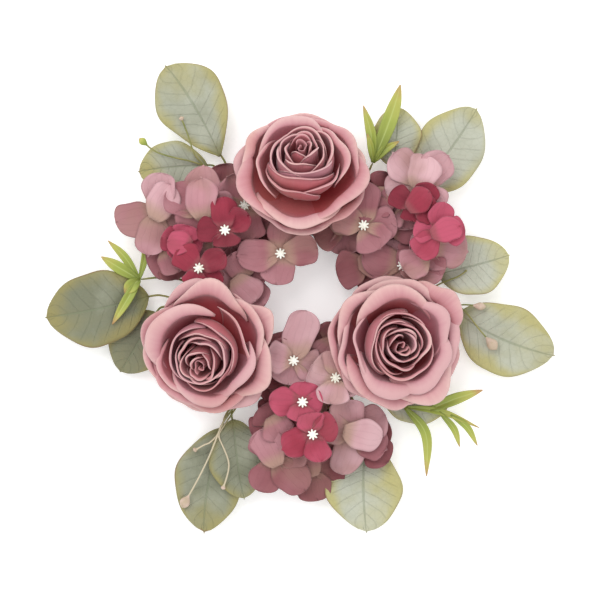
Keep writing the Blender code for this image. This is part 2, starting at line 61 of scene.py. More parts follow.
# Outer and middle petals: layer, turn, half its spread, radius and height of the rim, how far the
# rim closes in, radius of its roll, length of its point
ROSES = {
    "right": (
        ("outer", 40, 31, 34, 20, 0, 4.0, 5),
        ("outer", 172, 44, 36.5, 12, 0, 1.6, 0),
        ("outer", 215, 38, 34, 11, 0, 2.0, 0),
        ("outer", 335, 45, 33.5, 12, 0, 2.6, 0),
        ("outer", 285, 45, 33, 11.5, 0, 3.0, 0),
        ("outer", 100, 44, 34, 12, 0, 2.4, 0),
        ("outer", 132, 54, 31.5, 19, 0, 2.6, 0),
        ("outer", 82, 46, 32, 18.4, 0, 2.8, 0),
        ("outer", 10, 52, 31, 18.6, 0, 2.8, 1),
        ("outer", 188, 44, 32, 18.2, 0, 1.6, 0),
        ("outer", 243, 50, 30, 18.6, 0, 4.0, 0),
        ("outer", 305, 52, 30.5, 19, 0, 3.8, 0),
        ("middle", 96, 62, 25.8, 24.6, 0, 3.6, 0),
        ("middle", 190, 54, 26.4, 24.6, 0, 1.2, 0),
        ("middle", 248, 56, 24.6, 24.4, 0, 3.4, 0),
        ("middle", 318, 62, 24, 25, 0, 3.8, 0),
        ("middle", 30, 52, 25, 24.8, 0, 2.6, 0),
    ),
    "left": (
        ("outer", 32, 34, 35, 14.5, 0, 2.2, 5),
        ("outer", 95, 42, 34.5, 13.5, 0, 2.8, 0),
        ("outer", 150, 44, 34, 11.5, 0, 2.2, 0),
        ("outer", 200, 45, 33.5, 11, 0, 2.0, 0),
        ("outer", 255, 46, 33, 11, 0, 2.4, 0),
        ("outer", 308, 45, 34, 12, 0, 2.8, 2),
        ("outer", 82, 46, 32, 19, 0, 3.4, 0),
        ("outer", 24, 46, 32.5, 18.6, 0, 2.0, 0),
        ("outer", 338, 46, 32, 18.6, 0, 3.2, 0),
        ("outer", 278, 54, 31.5, 18.4, 0, 2.4, 0),
        ("outer", 172, 54, 32, 18, 0, 1.6, 0),
        ("outer", 224, 50, 31, 18, 0, 1.8, 0),
        ("middle", 142, 68, 25.5, 25, 0, 4.0, 0),
        ("middle", 20, 54, 26.8, 24, 0, 1.2, 0),
        ("middle", 325, 50, 25.6, 24.6, 0, 2.4, 0),
        ("middle", 268, 56, 25, 24.6, 0, 2.2, 0),
        ("middle", 212, 50, 25.6, 24.2, 0, 1.4, 0),
    ),
    "back": (
        ("outer", 268, 46, 34.5, 9.5, 0, 1.6, 0),
        ("outer", 312, 44, 35, 10.5, 0, 1.6, 3),
        ("outer", 218, 44, 34.5, 11, 0, 1.6, 0),
        ("outer", 160, 44, 34, 12, 0, 2.0, 0),
        ("outer", 30, 46, 34, 12, 0, 2.0, 0),
        ("outer", 92, 46, 34, 12, 0, 2.0, 0),
        ("outer", 198, 58, 32, 18.6, 0, 2.8, 1),
        ("outer", 262, 54, 31.5, 18.2, 0, 3.0, 0),
        ("outer", 328, 56, 32, 18.6, 0, 3.0, 0),
        ("outer", 34, 50, 32.4, 18, 0, 2.0, 0),
        ("outer", 92, 50, 31.8, 17.6, 0, 1.8, 0),
        ("outer", 146, 46, 32.2, 18, 0, 2.2, 0),
        ("middle", 108, 60, 25.4, 24, 0, 2.2, 0),
        ("middle", 22, 56, 25, 24, 0, 1.6, 0),
        ("middle", 182, 52, 25, 23.6, 0, 1.2, 0),
        ("middle", 240, 58, 23, 23.6, 1.0, 0.8, 0),
        ("middle", 310, 56, 23, 23.6, 1.0, 0.8, 0),
    ),
}
# Inner petals wind toward the heart, each a golden turn on from the last
SWIRL_PETALS = 15
SWIRL_START = {"right": 155, "left": 40, "back": 250}
SWIRL_RIM = (24.0, 6.6)
SWIRL_HEIGHT = (28.0, 32.2)
SWIRL_STEP = 137.5
SWIRL_SHIFT = {"right": (-2.6, -0.8), "left": (2.4, -3.0), "back": (0, 0.8)}
INNER_REACH = 14
# The sheet rolled up at the middle
HEART_TURNS = 1.15
HEART_START = {"right": 300, "left": 200, "back": 90}
HEART_FOOT = 17
HEART_COLUMNS = 110
HEART_ROWS = 12

# Hydrangea petals
FLORET_COLUMNS = 15
FLORET_ROWS = 17
FLORET_WIDTH = {"dusty": 10.8, "ruby": 8.2}
# Crossing petals of a floret lie this far above and below its level
PETAL_LEVEL = 0.28

# Florets whose stamens are hidden by a petal folded over them, and the way it points
HOODS = {
    "hydrangea_left_floret_3": 60,
    "hydrangea_left_floret_4": 95,
    "hydrangea_left_floret_8": 170,
    "hydrangea_left_floret_5": 310,
    "hydrangea_front_floret_3": 345,
    "hydrangea_front_floret_4": 115,
    "hydrangea_right_floret_2": 70,
    "hydrangea_right_floret_5": 40,
    "hydrangea_right_floret_6": 20,
}
HOOD_START = -5
HOOD_LENGTH = 0.72
HOOD_WIDTH = 0.92
HOOD_LEVEL = 3.4
HOOD_BULGE = 1.6 * MM

# Stamen caps: level over the floret, points, reach of the points
CAP_LEVEL = 1.9 * MM
CAP_POINTS = 8
CAP_REACH = 2.3 * MM

# Painted shade low in the clusters: the heights over which the colour darkens, downward, by how
# much, and the shade colour
DEEP_SHADE_HEIGHTS = (0.011, 0.028)
DEEP_SHADE_STRENGTH = 0.62
DEEP_SHADE_COLOUR = (0.43, 0.19, 0.20)
# How much of a petal's droop is kept; none over the sprig that lifts beneath
SAG = 0.6
SAGS = {"hydrangea_left_floret_3": 0.0}

# Moods of the florets' fabric, from dark to pale; the lower florets' darker moods are painted
# shade deep in the clusters
MOODS = (0.05, 0.95)
SHADED_LOWER_MOODS = (-0.3, 0.25)

# Lower florets that fill the clusters. Each: X, Y, height, turn, petal length
FILLERS = (
    (-78, 27, 18, 20, 17),
    (-57, 33, 14, 50, 18),
    (-45, 66, 13, 10, 19),
    (-29, 41, 14, 70, 18),
    (-73, 45, 15, 65, 19),
    (-34, 18, 16, 35, 15),
    (40, 22, 13, 15, 18),
    (37, 58, 17, 40, 15),
    (50, 62, 18, 75, 15),
    (72, 24, 19, 30, 15),
    (58, 44, 13, 60, 19),
    (26, 44, 13, 20, 17),
    (64, 58, 20, 10, 15),
    (6, -102, 13, 25, 18),
    (-9, -60, 14, 55, 18),
    (12, -63, 13, 10, 18),
    (38, -84, 15, 40, 18),
    (0, -84, 14, 70, 19),
    (-15, -74, 18, 30, 14),
    (18, -28, 13, 60, 16),
    (-8, -32, 15, 15, 15),
    (-3, -50, 15, 45, 16),
)

# Leaves: how far along their widest place lies, fullness of the outline, greyness, how far the
# blade sits to the left of its stem
LEAVES = {
    "spray_back_left_leaf_1": (0.6, 0.62, 0.5, -3.4),
    "spray_back_left_leaf_2": (0.52, 0.6, 0.4, 0),
    "spray_left_leaf_1": (0.5, 0.62, 0.95, 0),
    "spray_left_leaf_2": (0.5, 0.6, 1.0, 0),
    "spray_front_left_leaf_1": (0.5, 0.64, 0.75, -4),
    "spray_front_left_leaf_2": (0.5, 0.6, 0.8, 0),
    "spray_front_leaf_1": (0.5, 0.62, 0.2, -2.5),
    "spray_front_leaf_2": (0.5, 0.6, 0.2, 0),
    "spray_right_leaf_1": (0.48, 0.6, 0.15, 0),
    "spray_right_leaf_2": (0.5, 0.62, 0.3, -5),
    "spray_back_right_leaf_1": (0.5, 0.62, 0.25, -3.5),
    "spray_back_right_leaf_2": (0.5, 0.6, 0.3, 0),
}
LEAF_COLUMNS = 21
LEAF_ROWS = 37

# Narrow leaves of the sprigs, from each spray's hinge: X outward, Y counter-clockwise, Z up.
# Each: width, points.
SPRIGS = {
    "spray_left": (
        (7, ((42.5, -20.7, 8.6), (54, -29, 11), (64, -36.4, 13))),
        (5, ((42.5, -20.7, 8.6), (50, -35, 12), (58.9, -45.6, 15))),
        (6, ((42.5, -20.7, 8.6), (51, -9, 11.7), (61, 4.8, 12))),
        (4, ((42.5, -20.7, 8.6), (38, -34, 11), (37.8, -46.2, 13))),
        (8, ((42.5, -20.7, 8.6), (48, -17, 10.5), (52, -13.4, 11))),
    ),
    "spray_front": (
        (4, ((33.7, 25.6, 8.8), (42, 38, 9.6), (50.9, 47.7, 9.6), (65.9, 59.4, 10))),
        (7, ((42, 38, 9.6), (43.5, 54, 10.5), (46.6, 71.7, 12))),
        (6, ((33.7, 25.6, 8.8), (54, 29, 9.5), (76.9, 17.5, 9))),
        (4, ((46, 42.5, 9.6), (59, 45.5, 10), (70.4, 43.5, 10.5))),
        (4, ((50.9, 47.7, 9.6), (62, 53, 9.5), (74.9, 53.3, 9))),
    ),
    "spray_back_right": (
        (9, ((41, 3.4, 8.2), (60, 6, 12), (76, 9, 15), (89.1, 12.4, 17))),
        (6, ((41, 3.4, 8.2), (55, 13, 13), (67.1, 25.4, 18))),
        (4, ((41, 3.4, 8.2), (48, 9, 12), (53.8, 14.9, 16))),
        (5, ((41, 3.4, 8.2), (51, 1, 10.5), (59.7, -3.9, 12))),
    ),
}
BLADE_COLUMNS = 7
BLADE_ROWS = 22

# Pear-shaped buds on the tendrils, in the same axes: the point before, the tip, length, radius
BUDS = {
    "spray_back_left": (
        ((70, 20, 9), (81, 23.2, 8.2), 7.5, 2.3, "lime"),
        ((66, -1.5, 13), (78, -4.4, 13), 3.4, 1.5, "pod"),
    ),
    "spray_front_left": (
        ((72, 0.8, 11), (89, 0.9, 8.4), 10, 3.1, "pod"),
        ((54, 12.9, 13), (68.5, 16.6, 12.2), 3.2, 1.5, "pod"),
        ((51, -6, 9.7), (57.4, -9.9, 8.7), 3.2, 1.5, "pod"),
    ),
    "spray_right": (
        ((56, -8, 9.4), (66, -17.6, 10), 11, 3.4, "pod"),
        ((49, 6, 8.2), (57, 5.7, 8.8), 9, 2.4, "pod"),
    ),
}
# Distances from the hinge between which the front left tendrils turn cream
CREAM_FROM = (26, 44)

STEM_COLOURS = ((0.45, 0.48, 0.24), (0.60, 0.58, 0.36))
STEM_ROUGHNESS = 0.6
PLASTIC_CLOUD = 90
PLASTIC_GRAIN = 1600
GRAIN_DEPTH = 0.00008

FLOOR_REACH = 4
FLOOR_LEVEL = -0.5 * MM
FLOOR_GLOW = 0.3
SKY = 0.86

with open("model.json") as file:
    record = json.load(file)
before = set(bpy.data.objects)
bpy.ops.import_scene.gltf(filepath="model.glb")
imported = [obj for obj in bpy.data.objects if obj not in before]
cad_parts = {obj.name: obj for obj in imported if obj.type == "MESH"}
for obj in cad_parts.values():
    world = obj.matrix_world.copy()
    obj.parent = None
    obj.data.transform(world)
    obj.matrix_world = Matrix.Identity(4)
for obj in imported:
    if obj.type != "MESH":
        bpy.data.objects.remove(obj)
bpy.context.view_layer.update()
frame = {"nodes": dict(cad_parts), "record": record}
nodes = frame["nodes"]
record = frame["record"]
slots = {part["node"]: part["material_slot"] for part in record["subparts"]}
body_of = {node: body for body, held in record["behaviour"]["bodies"].items() for node in held}
rng = np.random.default_rng(7)


# Shader nodes


def linear(*colour):
    """A display colour as linear RGBA."""
    return (*(c / 12.92 if c < 0.04 else ((c + 0.055) / 1.055) ** 2.4 for c in colour), 1)


def new_material(name, roughness, sheen=0.0):
    """A node material: (material, tree, its shader)."""
    material = bpy.data.materials.new(name)
    material.use_nodes = True
    tree = material.node_tree
    shader = tree.nodes["Principled BSDF"]
    shader.inputs["Roughness"].default_value = roughness
    shader.inputs["Sheen Weight"].default_value = sheen
    return material, tree, shader


def add(tree, kind, inputs=(), **settings):
    """A shader node with its settings; its inputs are set or linked."""
    made = tree.nodes.new(f"ShaderNode{kind}")
    for key, value in settings.items():
        setattr(made, key, value)
    for key, value in dict(inputs).items():
        if isinstance(value, bpy.types.NodeSocket):
            tree.links.new(value, made.inputs[key])
        else:
            made.inputs[key].default_value = value
    return made


def calc(tree, operation, *values):
    """A number worked out from others."""
    return add(tree, "Math", dict(enumerate(values)), operation=operation).outputs[0]


def step(tree, value, low, high, to_low=0.0, to_high=1.0):
    """A number that goes smoothly from one value to another between low and high."""
    inputs = {"Value": value, "From Min": low, "From Max": high}
    inputs |= {"To Min": to_low, "To Max": to_high}
    return add(tree, "MapRange", inputs, interpolation_type="SMOOTHSTEP").outputs[0]


def ramp(tree, value, stops):
    """A colour that changes along stops (place, colour)."""
    made = add(tree, "ValToRGB", {"Fac": value})
    elements = made.color_ramp.elements
    while len(elements) < len(stops):
        elements.new(0.5)
    for element, (place, colour) in zip(elements, stops):
        element.position = place
        element.color = linear(*colour)
    return made.outputs["Color"]


def blend(tree, share, below, above):
    """Two colours mixed."""
    return add(tree, "MixRGB", {"Fac": share, "Color1": below, "Color2": above}).outputs[0]


def cloud(tree, scale, detail=2.0, vector=None, stretch=None):
    """Soft noise about 0.5, in object space unless a vector is given."""
    if vector is None:
        vector = add(tree, "TexCoord").outputs["Object"]
    if stretch is not None:
        vector = add(tree, "Mapping", {"Vector": vector, "Scale": stretch}).outputs[0]
    inputs = {"Vector": vector, "Scale": scale, "Detail": detail}
    return add(tree, "TexNoise", inputs).outputs["Fac"]


def blade_coordinates(tree):
    """(signed place across from -1 to 1, place along from 0 to 1, mood) of a piece of fabric."""
    place = add(tree, "UVMap").outputs[0]
    split = add(tree, "SeparateXYZ", {0: place})
    across = calc(tree, "MULTIPLY_ADD", split.outputs["X"], 2.0, -1.0)
    mood = add(tree, "Attribute", attribute_name="mood").outputs["Fac"]
    return place, across, split.outputs["Y"], mood


def relief(tree, shader, height, distance, strength=1.0):
    """Bump from a height."""
    inputs = {"Height": height, "Distance": distance, "Strength": strength}
    tree.links.new(add(tree, "Bump", inputs).outputs[0], shader.inputs["Normal"])


# Materials


def rose_material():
    """Rose fabric: deep at the foot of a petal and pale at its rim, streaked along; the deep foot
    is partly painted shade in the recesses and the pale rim partly painted highlight.
    """
    material, tree, shader = new_material("rose_fabric", 0.72, 0.25)
    place, _, along, mood = blade_coordinates(tree)
    patches = cloud(tree, 45, 3)
    streaks = cloud(tree, 1, 3, place, (26, 1.3, 1))
    shade = calc(tree, "MULTIPLY_ADD", patches, 0.16, along)
    shade = calc(tree, "MULTIPLY_ADD", streaks, 0.1, shade)
    shade = calc(tree, "MULTIPLY_ADD", mood, 0.2, shade)
    shade = calc(tree, "SUBTRACT", shade, 0.21)
    # the petal's own tone and partly painted light: deep at the foot as painted shade in the
    # recesses, pale on the rolled rim as painted highlight
    colour = ramp(
        tree,
        shade,
        (
            (0.1, (0.64, 0.15, 0.17)),
            (0.42, (0.70, 0.27, 0.30)),
            (0.68, (0.72, 0.42, 0.45)),
            (0.84, (0.79, 0.56, 0.58)),
            (1.0, (0.87, 0.71, 0.69)),
        ),
    )
    warm = step(tree, cloud(tree, 28, 2), 0.52, 0.72, 0.0, 0.3)
    colour = blend(tree, warm, colour, linear(0.76, 0.49, 0.43))
    mauve = step(tree, mood, 0.55, 0.95, 0.0, 0.35)
    colour = blend(tree, mauve, colour, linear(0.74, 0.49, 0.57))
    tree.links.new(colour, shader.inputs["Base Color"])
    weave = cloud(tree, 2600, 1)
    height = calc(tree, "MULTIPLY_ADD", streaks, 3.0, weave)
    relief(tree, shader, height, 0.00012, 0.55)
    return material


def floret_material(name, stops, heart, heart_reach, dull):
    """Hydrangea fabric: tan at the centre, dulled in patches, with faint veins, and painted shade
    low down in the cluster.
    """
    material, tree, shader = new_material(name, 0.8, 0.25)
    _, across, along, mood = blade_coordinates(tree)
    patches = cloud(tree, 60, 3)
    fan = calc(tree, "MULTIPLY_ADD", cloud(tree, 90, 1), 2.4, calc(tree, "MULTIPLY", across, 8.0))
    vein = step(tree, calc(tree, "ABSOLUTE", calc(tree, "SINE", fan)), 0.0, 0.3, 1.0, 0.0)
    shade = calc(tree, "MULTIPLY_ADD", patches, 0.45, calc(tree, "MULTIPLY", mood, 0.62))
    shade = calc(tree, "MULTIPLY_ADD", along, 0.16, calc(tree, "SUBTRACT", shade, 0.1))
    colour = ramp(tree, shade, stops)
    faded = step(tree, cloud(tree, 34, 2), 0.5, 0.68, 0.0, 0.55)
    colour = blend(tree, faded, colour, linear(*dull))
    core = step(tree, calc(tree, "MULTIPLY_ADD", patches, -0.3, along), *heart_reach, 0.75, 0.0)
    colour = blend(tree, core, colour, linear(*heart))
    dark = calc(tree, "MULTIPLY", vein, 0.06)
    colour = blend(tree, dark, colour, linear(*[c * 0.55 for c in stops[0][1]]))
    edge = step(tree, calc(tree, "ABSOLUTE", across), 0.88, 1.0, 0.0, 0.22)
    colour = blend(tree, edge, colour, linear(*[c * 0.8 for c in stops[0][1]]))
    # painted shade: the petals deep in a cluster are coloured darker, toward the bottom
    rise = add(tree, "SeparateXYZ", {"Vector": add(tree, "TexCoord").outputs["Object"]})
    deep = step(tree, rise.outputs["Z"], *DEEP_SHADE_HEIGHTS, DEEP_SHADE_STRENGTH, 0.0)
    colour = blend(tree, deep, colour, linear(*DEEP_SHADE_COLOUR))
    tree.links.new(colour, shader.inputs["Base Color"])
    height = calc(tree, "MULTIPLY_ADD", vein, -1.0, cloud(tree, 2300, 1))
    height = calc(tree, "MULTIPLY_ADD", cloud(tree, 260, 2), 2.5, height)
    relief(tree, shader, height, 0.00016, 0.6)
    return material


def leaf_material():
    """Sage leaf fabric with veins, olive margins and a brown rim in places."""
    material, tree, shader = new_material("leaf_fabric", 0.7, 0.15)
    _, across, along, mood = blade_coordinates(tree)
    aside = calc(tree, "ABSOLUTE", across)
    patches = cloud(tree, 55, 4)
    grey = calc(tree, "MULTIPLY_ADD", patches, 0.6, calc(tree, "MULTIPLY", mood, 0.7))
    colour = ramp(
        tree,
        grey,
        (
            (0.15, (0.79, 0.80, 0.74)),
            (0.5, (0.71, 0.72, 0.65)),
            (0.95, (0.48, 0.49, 0.40)),
        ),
    )
    # side veins sweep forward from the midrib
    sweep = calc(tree, "MULTIPLY_ADD", aside, -1.7, calc(tree, "MULTIPLY", along, 8.5))
    sweep = calc(tree, "MULTIPLY_ADD", cloud(tree, 50, 2), 0.7, sweep)
    side = calc(tree, "PINGPONG", sweep, 0.5)
    side = step(tree, side, 0.0, 0.075, 1.0, 0.0)
    side = calc(tree, "MULTIPLY", side, step(tree, aside, 0.8, 0.98, 1.0, 0.0))
    midrib = step(tree, aside, 0.012, 0.05, 1.0, 0.0)
    vein = calc(tree, "MAXIMUM", side, midrib)
    net_inputs = {"Scale": 260.0, "Vector": add(tree, "TexCoord").outputs["Object"]}
    net = add(tree, "TexVoronoi", net_inputs, feature="DISTANCE_TO_EDGE").outputs["Distance"]
    net = step(tree, net, 0.0, 0.09, 1.0, 0.0)
    margin = calc(tree, "MULTIPLY_ADD", patches, 0.5, aside)
    margin = calc(tree, "MAXIMUM", margin, calc(tree, "MULTIPLY_ADD", patches, 0.4, along))
    margin = calc(tree, "MULTIPLY_ADD", cloud(tree, 24, 2), 1.3, margin)
    margin = step(tree, margin, 1.45, 1.95, 0.0, 0.85)
    olive = blend(tree, mood, linear(0.75, 0.72, 0.45), linear(0.58, 0.54, 0.32))
    colour = blend(tree, margin, colour, olive)
    colour = blend(tree, calc(tree, "MULTIPLY", net, 0.08), colour, linear(0.45, 0.50, 0.38))
    side = calc(tree, "MULTIPLY", side, step(tree, cloud(tree, 40, 2), 0.42, 0.62, 0.1, 1.0))
    colour = blend(tree, calc(tree, "MULTIPLY", side, 0.16), colour, linear(0.48, 0.53, 0.42))
    colour = blend(tree, calc(tree, "MULTIPLY", midrib, 0.42), colour, linear(0.46, 0.50, 0.38))
    foot = step(tree, along, 0.02, 0.2, 0.7, 0.0)
    colour = blend(tree, foot, colour, linear(0.50, 0.49, 0.24))
    rim = step(tree, calc(tree, "MAXIMUM", aside, along), 0.965, 0.99, 0.0, 0.6)
    rim = calc(tree, "MULTIPLY", rim, step(tree, cloud(tree, 30, 1), 0.45, 0.6))
    colour = blend(tree, rim, colour, linear(0.53, 0.33, 0.24))
    tree.links.new(colour, shader.inputs["Base Color"])
    height = calc(tree, "MULTIPLY_ADD", vein, -3.0, cloud(tree, 1900, 1))
    height = calc(tree, "MULTIPLY_ADD", net, -0.8, height)
    relief(tree, shader, height, 0.00016, 0.6)
    return material


def lime_material():
    """Lime plastic with a pale rib, browned at the tip."""
    material, tree, shader = new_material("lime_plastic", 0.5)
    place, across, along, _ = blade_coordinates(tree)
    patches = cloud(tree, 80, 3)
    shade = calc(tree, "MULTIPLY_ADD", patches, 0.35, calc(tree, "SUBTRACT", along, 0.17))
    colour = ramp(
        tree,
        shade,
        (
            (0.0, (0.48, 0.54, 0.22)),
            (0.5, (0.62, 0.67, 0.29)),
            (0.8, (0.72, 0.72, 0.36)),
            (1.0, (0.74, 0.58, 0.38)),
        ),
    )
    rib = step(tree, calc(tree, "ABSOLUTE", across), 0.02, 0.16, 0.45, 0.0)
    colour = blend(tree, rib, colour, linear(0.78, 0.83, 0.52))
    tree.links.new(colour, shader.inputs["Base Color"])
    grain = cloud(tree, 1, 2, place, (24, 2, 1))
    relief(tree, shader, grain, 0.0002, 0.5)
    return material


def plastic_material(name, low, high, roughness, scale=PLASTIC_CLOUD, cream_from=None):
    """Moulded plastic between two colours with a fine grain, turning cream away from a point."""
    material, tree, shader = new_material(name, roughness)
    colour = ramp(tree, cloud(tree, scale, 3), ((0.35, low), (0.65, high)))
    if cream_from is not None:
        inputs = {0: add(tree, "TexCoord").outputs["Object"], 1: tuple(cream_from)}
        far = add(tree, "VectorMath", inputs, operation="DISTANCE").outputs["Value"]
        far = step(tree, far, CREAM_FROM[0] * MM, CREAM_FROM[1] * MM)
        colour = blend(tree, far, colour, linear(0.80, 0.75, 0.64))
    tree.links.new(colour, shader.inputs["Base Color"])
    relief(tree, shader, cloud(tree, PLASTIC_GRAIN, 2), GRAIN_DEPTH, 0.6)
    return material


MATERIALS = {
    "rose": rose_material(),
    "dusty": floret_material(
        "dusty_fabric",
        (
            (0.0, (0.52, 0.26, 0.29)),
            (0.25, (0.64, 0.40, 0.43)),
            (0.6, (0.76, 0.55, 0.58)),
            (0.9, (0.86, 0.70, 0.72)),
        ),
        (0.71, 0.59, 0.51),
        (-0.04, 0.27),
        (0.69, 0.53, 0.49),
    ),
    "ruby": floret_material(
        "ruby_fabric",
        (
            (0.15, (0.46, 0.09, 0.17)),
            (0.5, (0.60, 0.16, 0.25)),
            (0.8, (0.74, 0.31, 0.41)),
        ),
        (0.58, 0.30, 0.32),
        (-0.05, 0.16),
        (0.60, 0.25, 0.30),
    ),
    "leaf": leaf_material(),
    "lime": lime_material(),
    "pod": plastic_material("pod_plastic", (0.74, 0.66, 0.56), (0.84, 0.74, 0.68), 0.6, 220),
    "stem": plastic_material("stem_plastic", *STEM_COLOURS, STEM_ROUGHNESS),
    "ring": plastic_material("ring_plastic", (0.10, 0.12, 0.08), (0.16, 0.19, 0.11), 0.5),
    "stamen": plastic_material("stamen_plastic", (0.93, 0.92, 0.86), (0.99, 0.99, 0.96), 0.4),
}


# Shapes


def unit(vector):
    """The vector at length 1."""
    return vector / np.linalg.norm(vector)


def sides_of(axis):
    """Two directions square to an axis, the first one nearest to +X."""
    side = unit(np.array((1.0, 0.0, 0.0)) - axis * axis[0])
    return side, np.cross(axis, side)


def around_axis(axis, sides, angle, out, up):
    """Points at these angles and distances about an axis, and this far up it."""
    side, other = sides
    return (
        side * (np.cos(angle) * out)[..., None]
        + other * (np.sin(angle) * out)[..., None]
        + axis * up[..., None]
    )


def points_of(node):
    """The distinct points of a CAD node."""
    mesh = nodes[node].data
    points = np.empty(len(mesh.vertices) * 3)
    mesh.vertices.foreach_get("co", points)
    return np.unique(points.reshape(-1, 3).round(6), axis=0)


class Cloth:
    """Grids of points gathered into one mesh, with shading coordinates and a mood for each."""

    def __init__(self):
        self.points = []
        self.coordinates = []
        self.moods = []
        self.faces = []
        self.count = 0

    def add(self, points, across, along, mood=0.5):
        """Takes in one grid."""
        rows, columns = points.shape[:2]
        index = self.count + np.arange(rows * columns).reshape(rows, columns)
        corners = (index[:-1, :-1], index[:-1, 1:], index[1:, 1:], index[1:, :-1])
        self.faces += np.stack(corners, axis=-1).reshape(-1, 4).tolist()
        self.points.append(points.reshape(-1, 3))
        across, along = np.broadcast_arrays(across, along)
        self.coordinates.append(np.stack(((across + 1) / 2, along), axis=-1).reshape(-1, 2))
        self.moods.append(np.full(rows * columns, mood))
        self.count += rows * columns

    def build(self, name, material, body, stands_for=(), thickness=0.0):
        """Makes the piece, riding on a body, in place of CAD solids."""
        mesh = bpy.data.meshes.new(name)
        mesh.from_pydata(np.concatenate(self.points).tolist(), [], self.faces)
        corners = np.empty(len(mesh.loops), dtype=np.int32)
        mesh.loops.foreach_get("vertex_index", corners)
        layer = mesh.uv_layers.new(name="UVMap")
        layer.data.foreach_set("uv", np.concatenate(self.coordinates)[corners].ravel())
        mood = mesh.attributes.new("mood", "FLOAT", "POINT")
        mood.data.foreach_set("value", np.concatenate(self.moods))
        mesh.shade_smooth()
        mesh.materials.append(MATERIALS[material])
        piece = bpy.data.objects.new(name, mesh)
        bpy.context.scene.collection.objects.link(piece)
        if thickness:
            thicken = piece.modifiers.new("Thickness", "SOLIDIFY")
            thicken.thickness = thickness
            thicken.offset = 0
        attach(piece, body)
        if stands_for:
            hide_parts(*stands_for)


# Roses


def round_of(points, radius):
    """Centre of the round hole of this radius among points, seen from above."""
    flat = np.unique(points[:, :2].round(5), axis=0)
    crowd = (np.linalg.norm(flat[:, None] - flat[None], axis=-1) < 2 * radius).sum(axis=1)
    centre = flat[crowd == crowd.max()].mean(axis=0)
    for _ in range(6):
        ring = flat[np.linalg.norm(flat - centre, axis=1) < 1.4 * radius]
        system = np.column_stack((ring, np.ones(len(ring))))
        answer = np.linalg.lstsq(system, (ring**2).sum(axis=1), rcond=None)[0]
        centre = answer[:2] / 2
    return centre


def rose_axes(name):
    """(top of the hip, {layer: its axis}) of a rose, from its CAD solids."""
    axes = {}
    outer = points_of(f"rose_{name}_outer_petals")
    for layer in ("outer_petals", "middle_petals", "inner_petals"):
        points = points_of(f"rose_{name}_{layer}")
        centre = points.mean(axis=0)
        _, _, turns = np.linalg.svd(points - centre)
        axes[layer] = turns[2] * np.sign(turns[2][2])
    foot = outer[np.argsort((outer - outer.mean(axis=0)) @ axes["outer_petals"])[:30]]
    top = foot.mean(axis=0) - axes["outer_petals"] * CAD_OUTER_FOOT
    bud = points_of(f"rose_{name}_bud")
    pin = bud[np.argsort(np.linalg.norm(bud - top, axis=1))[-20:]]
    axes["bud"] = unit(pin.mean(axis=0) - top)
    return top, axes


def rose_petal(top, axis, tuck, turn, half, rim, height, close, roll, point, shift=(0, 0)):
    """(points, across, along) of one rose petal."""
    across = np.linspace(-1, 1, PETAL_COLUMNS)[None, :]
    wall = np.concatenate((np.linspace(0, 1, WALL_ROWS), np.ones(ROLL_ROWS)))[:, None]
    rolled = np.concatenate((np.zeros(WALL_ROWS), np.linspace(0, 1, ROLL_ROWS + 1)[1:]))[:, None]
    rise = np.sin(wall * math.pi / 2)
    foot = rim * 0.3
    base = 1.5 + height * 0.12
    ends = np.abs(across) ** 2.4
    crest = height - (height - base) * 0.36 * ends
    phases = rng.uniform(0, 2 * math.pi, 4)
    wave = 0.15 + 0.035 * rim
    dent = np.exp(-(((across - rng.uniform(-0.55, 0.55)) / 0.2) ** 2)) * wall**3
    out = foot + (rim - foot) * rise
    up = base + (crest - base) * (1 - np.cos(wall * math.pi / 2))
    out = out + tuck * across * wall - close * np.clip(wall * 1.8 - 0.8, 0, 1) ** 1.5
    out = out + wave * np.sin(across * 3.4 + phases[0]) * wall**3 - 0.9 * wave * dent
    out = out + 0.4 * wave * np.sin(across * 7 + phases[3]) * wall**4
    up = up + wave * 0.8 * np.sin(across * 2.6 + phases[1]) * wall**3 - 0.6 * wave * dent
    reach = roll * np.maximum(1 - 0.9 * np.abs(across) ** 1.8, 0.05)
    reach = reach * (1 + 0.2 * np.sin(across * 4 + phases[2]))
    turned = rolled * math.radians(ROLL_TURN if roll > 1.2 else ROLL_TURN * 0.7)
    out = out + reach * 1.35 * (1 - np.cos(turned))
    up = up + reach * 0.7 * np.sin(turned)
    pinch = np.exp(-((across / 0.3) ** 2)) * rolled
    out = out + point * pinch
    angle = math.radians(turn) + math.radians(half) * across * (0.5 + 0.5 * rise)
    points = around_axis(axis, sides_of(axis), angle, out, up)
    points = points + np.array((*shift, 0.0)) * (wall**0.5)[..., None]
    along = WALL_SHARE * wall + (1 - WALL_SHARE) * rolled
    return top + points * MM, across, along


def rose_heart(top, axis, start):
    """(points, across, along) of the rolled sheet at the middle of a rose."""
    sweep = np.linspace(0, 1, HEART_COLUMNS)[None, :]
    wall = np.linspace(0, 1, HEART_ROWS)[:, None]
    curl = np.clip((wall - 0.8) / 0.2, 0, 1)
    out = (0.7 + 3.2 * sweep**0.9) * (1.25 - 0.25 * wall) + 0.5 * curl**2
    out = out * (1 + 0.22 * np.sin(sweep * 14 + start)) + 0.3 * np.sin(sweep * 29) * wall
    up = HEART_FOOT + (13.6 + 1.6 * sweep + 0.5 * np.sin(sweep * 15)) * wall - 0.5 * curl**2
    angle = math.radians(start) + sweep * HEART_TURNS * 2 * math.pi
    points = around_axis(axis, sides_of(axis), angle, out, up)
    return top + points * MM, sweep * 2 - 1, 0.25 + 0.55 * wall


